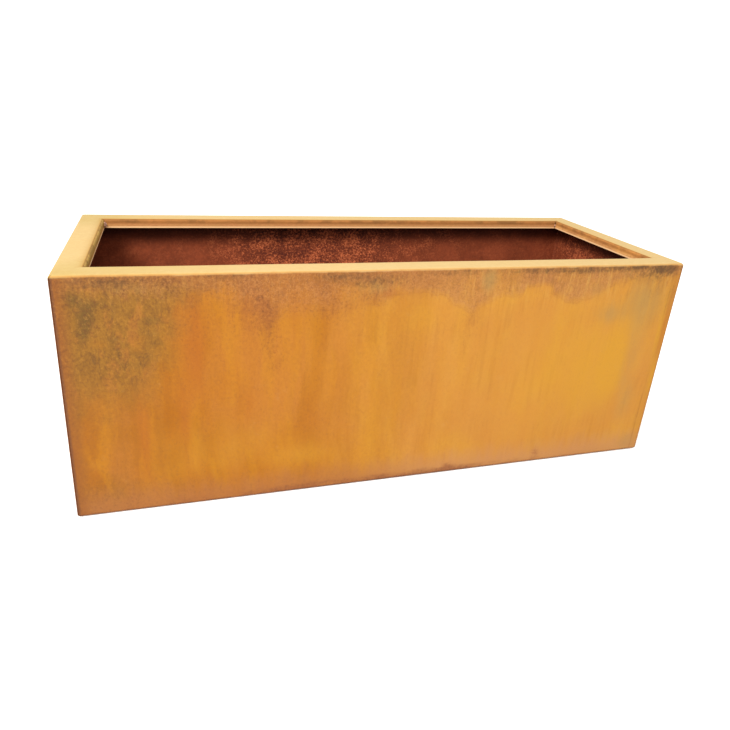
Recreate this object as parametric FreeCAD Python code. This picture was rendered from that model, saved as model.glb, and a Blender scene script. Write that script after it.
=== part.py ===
"""Rectangular planter box in folded and welded weathering steel, 1200 x 450 x 450 mm.

Frame: millimetres, +X along the length, -Y is the front, +Z up. The origin is at the middle of the
footprint, on the ground.

Four walls are each one folded sheet: a flange turned in at the foot, the tall panel, a rim turned in
at the top and a lip turned down from the rim's inner edge. Their ends are mitred and joined by a seam
weld at each corner. A drained base plate stands on three channels inside, clear of the ground, and a
bolted tie across the middle keeps the two long walls from bulging when the box is full of soil.
"""

import FreeCAD
import Part

import math
import os

Vector = FreeCAD.Vector
X_AXIS = Vector(1, 0, 0)
Z_AXIS = Vector(0, 0, 1)

# ---- overall size -------------------------------------------------------------------------------
LENGTH = 1200.0
WIDTH = 450.0
HEIGHT = 450.0

# ---- wall sheet ---------------------------------------------------------------------------------
SHEET = 3.0
BEND_OUTER = 6.0
BEND_INNER = BEND_OUTER - SHEET
RIM_WIDTH = 48.0
LIP_DEPTH = 20.0
FOOT_FLANGE = 30.0
EDGE_ROUND = 2.5  # the ground-off outer corner of the vertical seams

# ---- corner seams -------------------------------------------------------------------------------
SEAM_WIDTH = 2.0  # root gap that the weld fills, across the mitre
BEAD_LEG = 5.0  # fillet bead up the inside of each corner
MITRE_REACH = RIM_WIDTH + 6.0  # how far in from the outer face the mitre cut has to go
CUT_OVERSHOOT = 1.0  # how far a cutting slab starts outside the metal

# ---- base ---------------------------------------------------------------------------------------
BEARER_WIDTH = 40.0
BEARER_HEIGHT = 25.0
BEARER_BEND = 5.0
BEARER_X = {"left": -350.0, "middle": 0.0, "right": 350.0}
BEARER_END_GAP = 7.0  # from the outer face of a long wall to a bearer's end
BASE_THICK = 3.0
BASE_EDGE_GAP = 0.5
BASE_CORNER_CLIP = 14.0
DRAIN_DIAMETER = 20.0
DRAIN_X = (-475.0, -175.0, 175.0, 475.0)
DRAIN_Y = (-110.0, 110.0)

# ---- stitch welds -------------------------------------------------------------------------------
STITCH_LEG = 4.0
STITCH_LENGTH = 40.0
STITCH_X = (-450.0, -175.0, 175.0, 450.0)
STITCH_Y = (-120.0, 120.0)
BEARER_WELD_LENGTH = 16.0
BEARER_WELD_INSET = 2.0  # from a bearer's end to its bead

# ---- cross tie ----------------------------------------------------------------------------------
TIE_HEIGHT = 225.0  # of its middle above the ground
TIE_DEPTH = 40.0
TIE_THICK = 5.0
TIE_END_GAP = 10.0
LUG_REACH = 40.0
LUG_DEPTH = 50.0
LUG_CORNER = 8.0
BOLT_INSET = 25.0  # from a wall's inner face to a bolt's axis
LUG_WELD_LENGTH = 44.0

# ---- M10 fasteners ------------------------------------------------------------------------------
BOLT_DIAMETER = 10.0
BOLT_LENGTH = 25.0
HOLE_DIAMETER = 11.0
HEX_FLATS = 16.0
HEAD_HEIGHT = 6.4
NUT_HEIGHT = 8.4
NUT_BORE = 10.1
WASHER_DIAMETER = 20.0
WASHER_BORE = 10.5
WASHER_THICK = 2.0
HEX_FACE_RATIO = 0.97  # diameter of a turned hexagon's flat end, over its width across flats
HEX_CHAMFER_SLOPE = 0.55  # how far the turned corners reach along the axis, for each mm of radius
HEX_CLEARANCE = 0.1  # how far the turning blank passes the hexagon's points
SHANK_CHAMFER = 1.0

# ---- worked out from the above ------------------------------------------------------------------
HALF_LENGTH = LENGTH / 2
HALF_WIDTH = WIDTH / 2
INNER_HALF_LENGTH = HALF_LENGTH - SHEET
INNER_HALF_WIDTH = HALF_WIDTH - SHEET
TOUCHING = 1e-6
BASE_UNDERSIDE = SHEET + BEARER_HEIGHT
BASE_TOP = BASE_UNDERSIDE + BASE_THICK


# ---- drawing helpers ----------------------------------------------------------------------------
def rounded_outline(corners, place):
    """Closed face through corners given as (u, v, radius); place turns (u, v) into a 3-D point."""
    edges = []
    joints = []
    for i, (u, v, radius) in enumerate(corners):
        here = Vector(u, v, 0)
        back = Vector(*corners[i - 1][:2], 0) - here
        ahead = Vector(*corners[(i + 1) % len(corners)][:2], 0) - here
        if radius == 0:
            joints.append((here, None, here))
            continue
        back.normalize()
        ahead.normalize()
        half_angle = back.getAngle(ahead) / 2
        cut = radius / math.tan(half_angle)
        middle = (back + ahead).normalize()
        centre = here + middle * (radius / math.sin(half_angle))
        joints.append((here + back * cut, centre - middle * radius, here + ahead * cut))
    for i, (start, bulge, end) in enumerate(joints):
        if bulge is not None:
            edges.append(Part.Arc(place(start), place(bulge), place(end)).toShape())
        following = joints[(i + 1) % len(joints)][0]
        if end.distanceToPoint(following) > TOUCHING:
            edges.append(Part.LineSegment(place(end), place(following)).toShape())
    return Part.Face(Part.Wire(edges))


def block(low, high):
    """Box between two opposite corners."""
    return Part.makeBox(*(high[i] - low[i] for i in range(3)), Vector(*low))


def plan_prism(points, bottom, top):
    """Upright prism over a polygon given in plan."""
    wire = Part.makePolygon([Vector(x, y, bottom) for x, y in [*points, points[0]]])
    return Part.Face(wire).extrude(Vector(0, 0, top - bottom))


def cylinder_x(x0, x1, y, z, diameter):
    return Part.makeCylinder(diameter / 2, x1 - x0, Vector(x0, y, z), X_AXIS)


def turned(shape, degrees):
    """A copy turned about the box's upright centre line."""
    copy = shape.copy()
    copy.rotate(Vector(0, 0, 0), Z_AXIS, degrees)
    return copy


# ---- walls and corner seams ---------------------------------------------------------------------
def wall_profile(outer_y):
    """Section of a folded wall whose outer face is at y = outer_y and whose inside is towards +Y."""
    corners = [
        (FOOT_FLANGE, 0, 0),
        (0, 0, BEND_OUTER),
        (0, HEIGHT, BEND_OUTER),
        (RIM_WIDTH, HEIGHT, BEND_OUTER),
        (RIM_WIDTH, HEIGHT - LIP_DEPTH, 0),
        (RIM_WIDTH - SHEET, HEIGHT - LIP_DEPTH, 0),
        (RIM_WIDTH - SHEET, HEIGHT - SHEET, BEND_INNER),
        (SHEET, HEIGHT - SHEET, BEND_INNER),
        (SHEET, SHEET, BEND_INNER),
        (FOOT_FLANGE, SHEET, 0),
    ]
    return rounded_outline(corners, lambda p: Vector(0, outer_y + p.x, p.y))


def mitred_wall(run, outer_y):
    """The profile carried along X for the length run, with both ends cut at 45 degrees in plan."""
    sheet = wall_profile(outer_y).extrude(Vector(run, 0, 0))
    sheet.translate(Vector(-run / 2, 0, 0))
    half = run / 2
    inner_y = outer_y + MITRE_REACH
    plan = [
        (-half, outer_y),
        (half, outer_y),
        (half - MITRE_REACH, inner_y),
        (-half + MITRE_REACH, inner_y),
    ]
    return sheet.common(plan_prism(plan, 0, HEIGHT))


def outer_envelope():
    """The whole box's outline in plan with its upright edges eased, as tall as the box."""
    corners = [
        (-HALF_LENGTH, -HALF_WIDTH, EDGE_ROUND),
        (HALF_LENGTH, -HALF_WIDTH, EDGE_ROUND),
        (HALF_LENGTH, HALF_WIDTH, EDGE_ROUND),
        (-HALF_LENGTH, HALF_WIDTH, EDGE_ROUND),
    ]
    return rounded_outline(corners, lambda p: p).extrude(Vector(0, 0, HEIGHT))


def seam_slab(x, y, turn):
    """Upright slab, SEAM_WIDTH thick, along the mitre that starts at the outer corner (x, y)."""
    reach = MITRE_REACH * math.sqrt(2)
    slab = block((-CUT_OVERSHOOT, -SEAM_WIDTH / 2, 0), (reach, SEAM_WIDTH / 2, HEIGHT))
    slab.rotate(Vector(0, 0, 0), Z_AXIS, turn)
    slab.translate(Vector(x, y, 0))
    return slab


def inside_bead(x, y, turn):
    """Triangular fillet bead up the inside of a corner; (x, y) is where the inner faces meet."""
    bead = plan_prism([(0, 0), (BEAD_LEG, 0), (0, BEAD_LEG)], BEND_OUTER, HEIGHT - BEND_OUTER)
    bead.rotate(Vector(0, 0, 0), Z_AXIS, turn)
    bead.translate(Vector(x, y, 0))
    return bead


def walls_and_seams():
    envelope = outer_envelope()
    front = mitred_wall(LENGTH, -HALF_WIDTH).common(envelope)
    right = turned(mitred_wall(WIDTH, -HALF_LENGTH), 90).common(envelope)
    whole = {
        "front_wall": front,
        "back_wall": turned(front, 180),
        "right_end_wall": right,
        "left_end_wall": turned(right, 180),
    }
    corners = {
        "front_left": (-1, -1, 0),
        "front_right": (1, -1, 90),
        "back_right": (1, 1, 180),
        "back_left": (-1, 1, 270),
    }
    nodes = {}
    slabs = []
    for name, (sx, sy, turn) in corners.items():
        slab = seam_slab(sx * HALF_LENGTH, sy * HALF_WIDTH, turn + 45)
        slabs.append(slab)
        long_side, end_side = name.split("_")
        root = whole[f"{long_side}_wall"].common(slab)
        root = root.fuse(whole[f"{end_side}_end_wall"].common(slab))
        bead = inside_bead(sx * INNER_HALF_LENGTH, sy * INNER_HALF_WIDTH, turn)
        nodes[f"corner_seam_weld_{name}"] = root.fuse(bead).removeSplitter()
    for name, wall in whole.items():
        nodes[name] = wall.cut(slabs[0].multiFuse(slabs[1:]))
    return nodes


# ---- base ---------------------------------------------------------------------------------------
def base_plate():
    half_x = INNER_HALF_LENGTH - BASE_EDGE_GAP
    half_y = INNER_HALF_WIDTH - BASE_EDGE_GAP
    clip = BASE_CORNER_CLIP
    quarter = [(half_x, half_y - clip), (half_x - clip, half_y)]
    plan = quarter + [(-x, y) for x, y in quarter[::-1]]
    plan += [(-x, -y) for x, y in plan]
    plate = plan_prism(plan, BASE_UNDERSIDE, BASE_TOP)
    holes = [
        Part.makeCylinder(DRAIN_DIAMETER / 2, BASE_THICK, Vector(x, y, BASE_UNDERSIDE))
        for x in DRAIN_X
        for y in DRAIN_Y
    ]
    return plate.cut(holes)


def base_bearer(x):
    """Channel with its back up, laid across the box on the foot flanges of the two long walls."""
    half = BEARER_WIDTH / 2
    low = SHEET
    high = SHEET + BEARER_HEIGHT
    inner_bend = BEARER_BEND - SHEET
    corners = [
        (x - half, low, 0),
        (x - half, high, BEARER_BEND),
        (x + half, high, BEARER_BEND),
        (x + half, low, 0),
        (x + half - SHEET, low, 0),
        (x + half - SHEET, high - SHEET, inner_bend),
        (x - half + SHEET, high - SHEET, inner_bend),
        (x - half + SHEET, low, 0),
    ]
    run = WIDTH - 2 * BEARER_END_GAP
    section = rounded_outline(corners, lambda p: Vector(p.x, -run / 2, p.y))
    return section.extrude(Vector(0, run, 0))


def fillet_weld(corner, leg_a, leg_b, along):
    """Triangular bead: legs leg_a and leg_b from corner, carried along the vector along."""
    points = [corner, corner + leg_a, corner + leg_b, corner]
    return Part.Face(Part.makePolygon(points)).extrude(along)


def base_stitch_welds():
    """Short beads that join the base plate's top to the four walls."""
    up = Vector(0, 0, STITCH_LEG)
    along_x = Vector(STITCH_LENGTH, 0, 0)
    along_y = Vector(0, STITCH_LENGTH, 0)
    beads = []
    for side in (-1, 1):
        for x in STITCH_X:
            corner = Vector(x - STITCH_LENGTH / 2, side * INNER_HALF_WIDTH, BASE_TOP)
            beads.append(fillet_weld(corner, Vector(0, -side * STITCH_LEG, 0), up, along_x))
        for y in STITCH_Y:
            corner = Vector(side * INNER_HALF_LENGTH, y - STITCH_LENGTH / 2, BASE_TOP)
            beads.append(fillet_weld(corner, Vector(-side * STITCH_LEG, 0, 0), up, along_y))
    return Part.makeCompound(beads)


def bearer_welds():
    """A short bead on each side of a bearer at both ends, down to the foot flange."""
    up = Vector(0, 0, STITCH_LEG)
    along = Vector(0, BEARER_WELD_LENGTH, 0)
    end = HALF_WIDTH - BEARER_END_GAP - BEARER_WELD_INSET
    beads = []
    for x in BEARER_X.values():
        for side in (-1, 1):
            for y in (-end, end - BEARER_WELD_LENGTH):
                corner = Vector(x + side * BEARER_WIDTH / 2, y, SHEET)
                beads.append(fillet_weld(corner, Vector(side * STITCH_LEG, 0, 0), up, along))
    return Part.makeCompound(beads)


# ---- cross tie ----------------------------------------------------------------------------------
def bolt_sites():
    """Centres (y, z) of the two bolts, front and back."""
    return [(side * (INNER_HALF_WIDTH - BOLT_INSET), TIE_HEIGHT) for side in (-1, 1)]


def drilled(shape, x0, x1):
    """The shape with a bolt hole through it, from x0 to x1, at each bolt that it holds."""
    return shape.cut([cylinder_x(x0, x1, y, z, HOLE_DIAMETER) for y, z in bolt_sites()])


def tie_bar():
    half = INNER_HALF_WIDTH - TIE_END_GAP
    bar = block(
        (-TIE_THICK, -half, TIE_HEIGHT - TIE_DEPTH / 2),
        (0, half, TIE_HEIGHT + TIE_DEPTH / 2),
    )
    return drilled(bar, -TIE_THICK, 0)


def tie_lug_front():
    """Tab that stands out from the front wall beside the tie bar's end."""
    wall = -INNER_HALF_WIDTH
    tip = wall + LUG_REACH
    low = TIE_HEIGHT - LUG_DEPTH / 2
    high = TIE_HEIGHT + LUG_DEPTH / 2
    corners = [(wall, low, 0), (tip, low, LUG_CORNER), (tip, high, LUG_CORNER), (wall, high, 0)]
    tab = rounded_outline(corners, lambda p: Vector(0, p.x, p.y)).extrude(Vector(TIE_THICK, 0, 0))
    return drilled(tab, 0, TIE_THICK)


def tie_lug_welds():
    """Upright beads on both faces of each lug, against its wall."""
    up = Vector(0, 0, LUG_WELD_LENGTH)
    low = TIE_HEIGHT - LUG_WELD_LENGTH / 2
    beads = []
    for side in (-1, 1):
        inward = Vector(0, -side * STITCH_LEG, 0)
        for x, outward in ((0, -1), (TIE_THICK, 1)):
            corner = Vector(x, side * INNER_HALF_WIDTH, low)
            beads.append(fillet_weld(corner, Vector(outward * STITCH_LEG, 0, 0), inward, up))
    return Part.makeCompound(beads)


# ---- fasteners ----------------------------------------------------------------------------------
def hexagon(x0, x1, chamfer_low, chamfer_high):
    """Hexagonal prism along X from x0 to x1, with the points of the chosen ends turned off."""
    radius = HEX_FLATS / math.sqrt(3)
    ring = [
        Vector(x0, radius * math.cos(math.radians(60 * i)), radius * math.sin(math.radians(60 * i)))
        for i in range(7)
    ]
    prism = Part.Face(Part.makePolygon(ring)).extrude(Vector(x1 - x0, 0, 0))
    face_radius = HEX_FLATS / 2 * HEX_FACE_RATIO
    outside = radius + HEX_CLEARANCE
    turned_length = (outside - face_radius) * HEX_CHAMFER_SLOPE
    blank = [(x0, 0), (x0, face_radius if chamfer_low else outside)]
    if chamfer_low:
        blank.append((x0 + turned_length, outside))
    if chamfer_high:
        blank.append((x1 - turned_length, outside))
    blank += [(x1, face_radius if chamfer_high else outside), (x1, 0), (x0, 0)]
    section = Part.Face(Part.makePolygon([Vector(x, r, 0) for x, r in blank]))
    return prism.common(section.revolve(Vector(0, 0, 0), X_AXIS, 360))


def at_each_bolt(shape):
    copies = []
    for y, z in bolt_sites():
        copy = shape.copy()
        copy.translate(Vector(0, y, z))
        copies.append(copy)
    return Part.makeCompound(copies)


def tie_bolts():
    seat = -TIE_THICK - WASHER_THICK
    head = hexagon(seat - HEAD_HEIGHT, seat, True, False)
    shank = cylinder_x(seat, seat + BOLT_LENGTH, 0, 0, BOLT_DIAMETER)
    tip = [e for e in shank.Edges if e.Closed and e.BoundBox.XMin > seat + BOLT_LENGTH / 2]
    shank = shank.makeChamfer(SHANK_CHAMFER, tip)
    return at_each_bolt(head.fuse(shank).removeSplitter())


def washer(x0):
    disc = cylinder_x(x0, x0 + WASHER_THICK, 0, 0, WASHER_DIAMETER)
    return disc.cut(cylinder_x(x0, x0 + WASHER_THICK, 0, 0, WASHER_BORE))


def tie_washers():
    pair = Part.makeCompound([washer(-TIE_THICK - WASHER_THICK), washer(TIE_THICK)])
    return at_each_bolt(pair)


def tie_nuts():
    seat = TIE_THICK + WASHER_THICK
    nut = hexagon(seat, seat + NUT_HEIGHT, True, True)
    return at_each_bolt(nut.cut(cylinder_x(seat, seat + NUT_HEIGHT, 0, 0, NUT_BORE)))


# ---- assembly -----------------------------------------------------------------------------------
def build():
    nodes = walls_and_seams()
    nodes["base_plate"] = base_plate()
    for name, x in BEARER_X.items():
        nodes[f"base_bearer_{name}"] = base_bearer(x)
    nodes["base_stitch_welds"] = base_stitch_welds()
    nodes["bearer_welds"] = bearer_welds()
    nodes["tie_bar"] = tie_bar()
    nodes["tie_lug_front"] = tie_lug_front()
    nodes["tie_lug_back"] = nodes["tie_lug_front"].mirror(Vector(0, 0, 0), Vector(0, 1, 0))
    nodes["tie_lug_welds"] = tie_lug_welds()
    nodes["tie_bolts"] = tie_bolts()
    nodes["tie_washers"] = tie_washers()
    nodes["tie_nuts"] = tie_nuts()
    return nodes


os.makedirs("parts", exist_ok=True)
for node, shape in build().items():
    shape.exportStep(f"parts/{node}.step")
    box = shape.BoundBox
    print(
        f"{node}: {len(shape.Solids)} solids, {shape.Volume / 1000:.1f} cm3, valid {shape.isValid()},"
        f" x {box.XMin:.1f}..{box.XMax:.1f}, y {box.YMin:.1f}..{box.YMax:.1f}, z {box.ZMin:.1f}..{box.ZMax:.1f}"
    )
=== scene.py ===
# %% [markdown]
# # A weathering-steel planter box
#
# The real object is a trough that a sheet-metal shop folds out of 3 mm weathering steel and welds at
# its four corners. Rain then turns the steel orange, and that rust is its finish. Nothing is painted.
#
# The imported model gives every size. This script builds the visible sheet, welds and fittings around it
# as surfaces worked out with numpy, and then makes the rust as node materials.

from math import pi, radians, sqrt

import bpy
import numpy as np
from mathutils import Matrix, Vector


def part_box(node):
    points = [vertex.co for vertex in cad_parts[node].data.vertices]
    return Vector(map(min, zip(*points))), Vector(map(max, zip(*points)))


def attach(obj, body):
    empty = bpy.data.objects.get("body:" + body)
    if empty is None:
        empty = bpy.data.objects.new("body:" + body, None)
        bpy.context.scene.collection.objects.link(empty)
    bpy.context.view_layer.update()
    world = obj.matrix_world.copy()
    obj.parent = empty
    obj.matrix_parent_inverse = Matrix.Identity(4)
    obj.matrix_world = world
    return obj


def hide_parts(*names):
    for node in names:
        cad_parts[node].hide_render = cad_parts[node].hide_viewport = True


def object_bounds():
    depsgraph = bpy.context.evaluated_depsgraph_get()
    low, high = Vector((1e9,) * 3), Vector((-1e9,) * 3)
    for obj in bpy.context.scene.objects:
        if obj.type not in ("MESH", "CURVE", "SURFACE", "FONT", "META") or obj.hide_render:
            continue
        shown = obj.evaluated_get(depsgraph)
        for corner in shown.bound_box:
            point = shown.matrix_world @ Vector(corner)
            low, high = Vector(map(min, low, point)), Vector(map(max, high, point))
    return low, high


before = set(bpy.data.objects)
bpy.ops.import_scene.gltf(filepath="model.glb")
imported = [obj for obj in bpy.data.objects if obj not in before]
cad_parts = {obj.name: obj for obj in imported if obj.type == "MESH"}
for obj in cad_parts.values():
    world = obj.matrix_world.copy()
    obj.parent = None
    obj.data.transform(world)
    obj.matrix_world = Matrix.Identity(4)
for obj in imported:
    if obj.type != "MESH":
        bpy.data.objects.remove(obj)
cad_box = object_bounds()
BODY = "root"
MM = 0.001
print("CAD box in metres:", [list(corner) for corner in cad_box])

# %% [markdown]
# ## Sizes
#
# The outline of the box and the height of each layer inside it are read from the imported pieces, so
# that this script can't drift away from the model. The sheet's own sizes, such as its bend radius,
# can't be read from a box, so they are named here once.

# %% Sizes from the frame, and the sheet's own sizes
HALF_LENGTH, HALF_WIDTH, HEIGHT = (float(side) for side in cad_box[1])
SHEET = 3 * MM
FOLD = 6 * MM  # outer radius of every fold
RIM = 48 * MM
LIP = 20 * MM
FOOT = 30 * MM
CORNER_ROUND = 2.5 * MM  # plan radius of the ground-off vertical seams
CUT_ROUND = 1.0 * MM  # how far a cut edge of the sheet is rounded over
SEAM_HALF = sqrt(2) * MM  # half of the welded gap, measured along a wall

BASE_TOP = float(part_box("base_plate")[1][2])
print("half length, half width, height:", HALF_LENGTH, HALF_WIDTH, HEIGHT, "base top:", BASE_TOP)

# %% [markdown]
# ## Turning arrays into meshes
#
# Every new piece here is a grid of points: one index runs along the piece and the other runs round its
# outline. A grid of points needs only one rule for its faces, so a few array operations build them
# all. Several closed grids can share one mesh, as the root and the bead of one weld do.


# %% From grids of points to a mesh
SMOOTH_ANGLE = radians(35)  # sharper edges than this stay sharp


def tube_faces(rows, columns):
    """Quads of a closed outline carried along rows, with both ends shut.

    Cell (i, j) joins row i to the next row and column j to the next one round. The outline's points
    lie in pairs, the first with the last, the second with the last but one, and so on, so each end is
    shut by a ladder of quads between the pairs."""
    i, j = np.meshgrid(np.arange(rows - 1), np.arange(columns), indexing="ij")
    here, ahead = i * columns + j, i * columns + (j + 1) % columns
    sides = np.stack([here, ahead, ahead + columns, here + columns], axis=-1).reshape(-1, 4)
    rung = np.arange(columns // 2 - 1)
    ladder = np.stack([rung, rung + 1, columns - 2 - rung, columns - 1 - rung], axis=-1)
    last = (rows - 1) * columns
    return np.concatenate([sides, ladder[:, ::-1], ladder + last])


def signed_volume(points, faces):
    """Sum over quads of their two tetrahedra with the origin, which is positive if faces look out."""
    a, b, c, d = (points[faces[:, k]] for k in range(4))
    return float(np.einsum("ij,ij->i", a, np.cross(b, c) + np.cross(c, d)).sum() / 6)


def make_piece(name, shells, replaced, marks):
    """One object from closed shells of (points, faces); marks are named values, one for each point."""
    points = np.concatenate([shell[0].reshape(-1, 3) for shell in shells])
    faces = []
    start = 0
    for shell_points, shell_faces in shells:
        flat = shell_points.reshape(-1, 3)
        outward = signed_volume(flat, shell_faces) > 0
        faces.append((shell_faces if outward else shell_faces[:, ::-1]) + start)
        start += len(flat)
    faces = np.concatenate(faces)
    mesh = bpy.data.meshes.new(name)
    mesh.vertices.add(len(points))
    mesh.vertices.foreach_set("co", points.astype(np.float32).ravel())
    mesh.loops.add(faces.size)
    mesh.loops.foreach_set("vertex_index", faces.astype(np.int32).ravel())
    mesh.polygons.add(len(faces))
    mesh.polygons.foreach_set("loop_start", np.arange(0, faces.size, 4, dtype=np.int32))
    mesh.update(calc_edges=True)
    mesh.validate()
    for mark, values in marks.items():
        attribute = mesh.attributes.new(mark, "FLOAT", "POINT")
        attribute.data.foreach_set("value", np.asarray(values, dtype=np.float32).ravel())
    mesh.shade_smooth()
    mesh.set_sharp_from_angle(angle=SMOOTH_ANGLE)
    piece = bpy.data.objects.new(name, mesh)
    bpy.context.scene.collection.objects.link(piece)
    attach(piece, BODY)
    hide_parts(*replaced)
    print(f"{name}: {len(points)} points, {len(faces)} faces")
    return piece


# %% [markdown]
# ## The folded section
#
# A press brake folds each wall from one flat strip: a foot flange, the panel, the rim and the lip. The
# middle of the sheet is a line of straights and quarter circles, and both skins lie half a sheet
# either side of it. Working from the middle line keeps the two skins in step, so that the sheet's
# ends can be shut with a plain ladder of faces.


# %% The sheet's middle line
def straight(start, end, normal, pitch, start_cut=False, end_cut=False):
    """Points from start to end, no further apart than pitch; rows are depth, height, normal, half gauge.

    Towards a cut end the half gauge shrinks along a quarter circle, which rounds the cut over."""
    start, end = np.array(start), np.array(end)
    length = np.linalg.norm(end - start)
    swing = np.linspace(0, pi / 2, 5)
    along = np.linspace(0, length, max(2, int(np.ceil(length / pitch)) + 1))
    if start_cut:
        along = np.concatenate([CUT_ROUND * (1 - np.cos(swing)), along[along > 1.5 * CUT_ROUND]])
    if end_cut:
        kept = along[along < length - 1.5 * CUT_ROUND]
        along = np.concatenate([kept, length - CUT_ROUND * (1 - np.cos(swing[::-1]))])
    gap = np.full(len(along), CUT_ROUND)
    if start_cut:
        gap = np.minimum(gap, along)
    if end_cut:
        gap = np.minimum(gap, length - along)
    half = SHEET / 2 - CUT_ROUND + np.sqrt(CUT_ROUND**2 - (CUT_ROUND - gap) ** 2)
    place = start + np.outer(along / length, end - start)
    return np.column_stack([place, np.tile(normal, (len(along), 1)), half])


def quarter(centre, first, last, steps=10):
    """Quarter circle of the sheet's middle line about centre, from angle first to last in degrees."""
    angle = np.radians(np.linspace(first, last, steps + 1))
    normal = np.column_stack([np.cos(angle), np.sin(angle)])
    place = np.array(centre) + (FOLD - SHEET / 2) * normal
    return np.column_stack([place, normal, np.full(len(angle), SHEET / 2)])


def folded_section(pitch):
    """Middle line of the whole fold, from the foot flange's cut edge to the lip's cut edge."""
    middle = SHEET / 2
    parts = [
        straight((FOOT, middle), (FOLD, middle), (0, -1), pitch, start_cut=True),
        quarter((FOLD, FOLD), -90, -180),
        straight((middle, FOLD), (middle, HEIGHT - FOLD), (-1, 0), pitch),
        quarter((FOLD, HEIGHT - FOLD), 180, 90),
        straight((FOLD, HEIGHT - middle), (RIM - FOLD, HEIGHT - middle), (0, 1), pitch),
        quarter((RIM - FOLD, HEIGHT - FOLD), 90, 0),
        straight((RIM - middle, HEIGHT - FOLD), (RIM - middle, HEIGHT - LIP), (1, 0), pitch, end_cut=True),
    ]
    rows = [parts[0]] + [part[1:] for part in parts[1:]]
    return np.concatenate(rows)


class Outline:
    """Both skins of the sheet as one closed outline: the outer one forwards, then the inner one back.

    A skin lies half the gauge from the middle line, along the sheet's normal or against it."""

    def __init__(self, rows):
        columns = np.concatenate([rows, rows[::-1]]).T
        self.mid_depth, self.mid_level, self.facing_in, self.facing_up, half = columns
        self.skin = np.repeat([1.0, -1.0], len(rows))
        self.outer = self.skin > 0
        self.depth = self.mid_depth + self.skin * half * self.facing_in
        self.level = self.mid_level + self.skin * half * self.facing_up
        self.cut = np.clip((SHEET / 2 - half) / (0.4 * CUT_ROUND), 0, 1)


outline = Outline(folded_section(pitch=6 * MM))
print("points round the section:", len(outline.skin))

# %% [markdown]
# ## The four walls
#
# A wall is the section carried along its length, with both ends mitred: the deeper a point lies from
# the outer face, the sooner its row ends. Sheet is never quite flat after folding and welding, so the
# panel is let in by up to a millimetre in long soft waves, which die away at the folds and the seams.
# The waves only go inwards, because the box must keep its outside size.


# %% Waves in the sheet, and eased corners
def stations(half_run, pitch):
    """Places along a wall from -1 to 1, closer together at both ends, where the seams are."""
    near = np.array([0, 0.6, 1.2, 2, 3, 4.5, 6.5, 9, 12]) * MM
    middle = np.arange(12 * MM + pitch, half_run, pitch)
    from_end = np.concatenate([near, middle])
    place = 1 - from_end / half_run
    return np.concatenate([-place, place[::-1]])


def soft_waves(along, height, seed, lengths):
    """Sum of slow sine waves in both directions with seeded phases, brought to between 0 and 1."""
    rng = np.random.default_rng(seed)
    total = np.zeros(np.broadcast(along, height).shape)
    for length in lengths:
        turn, phase, lean = rng.uniform(0, 2 * pi, 3)
        bend = 0.6 * np.sin(2 * pi * along / (2.3 * length) + lean)
        up = np.cos(2 * pi * height / (0.7 * length) + turn + bend)
        total = total + np.sin(2 * pi * along / length + phase) * up
    return 0.5 + 0.5 * total / len(lengths)


def ease_corners(points):
    """Rounds the four vertical corners in plan.

    Inside a square of side CORNER_ROUND at a corner, a point is drawn towards the square's inner
    corner until its larger offset from there becomes its distance, which maps the square onto a
    quarter disc. Where the sheet folds in at the top and the foot, the square moves in with it."""
    x, y, z = points[..., 0], points[..., 1], points[..., 2]
    rise = np.clip(np.maximum(z - (HEIGHT - FOLD), FOLD - z), 0, FOLD)
    inset = FOLD - np.sqrt(FOLD**2 - rise**2) + CORNER_ROUND
    from_x = inset - (HALF_LENGTH - np.abs(x))
    from_y = inset - (HALF_WIDTH - np.abs(y))
    inside = (from_x > 0) & (from_y > 0)
    length = np.hypot(from_x, from_y)
    shrink = np.where(inside, np.maximum(from_x, from_y) / np.maximum(length, 1e-9), 1)
    eased_x = np.where(inside, np.sign(x) * (HALF_LENGTH - inset + from_x * shrink), x)
    eased_y = np.where(inside, np.sign(y) * (HALF_WIDTH - inset + from_y * shrink), y)
    return np.stack([eased_x, eased_y, z], axis=-1)


def place_wall(side, along, depth, height):
    """Turns along, depth from the outer face and height into x, y, z for one of the four sides."""
    if side == "front":
        spots = (along, -HALF_WIDTH + depth, height)
    elif side == "back":
        spots = (-along, HALF_WIDTH - depth, height)
    elif side == "right":
        spots = (HALF_LENGTH - depth, along, height)
    else:
        spots = (-HALF_LENGTH + depth, -along, height)
    return np.stack(np.broadcast_arrays(*spots), axis=-1)


WALL_PITCH = 6.5 * MM
print("stations along a long wall:", len(stations(HALF_LENGTH, WALL_PITCH)))
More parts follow.
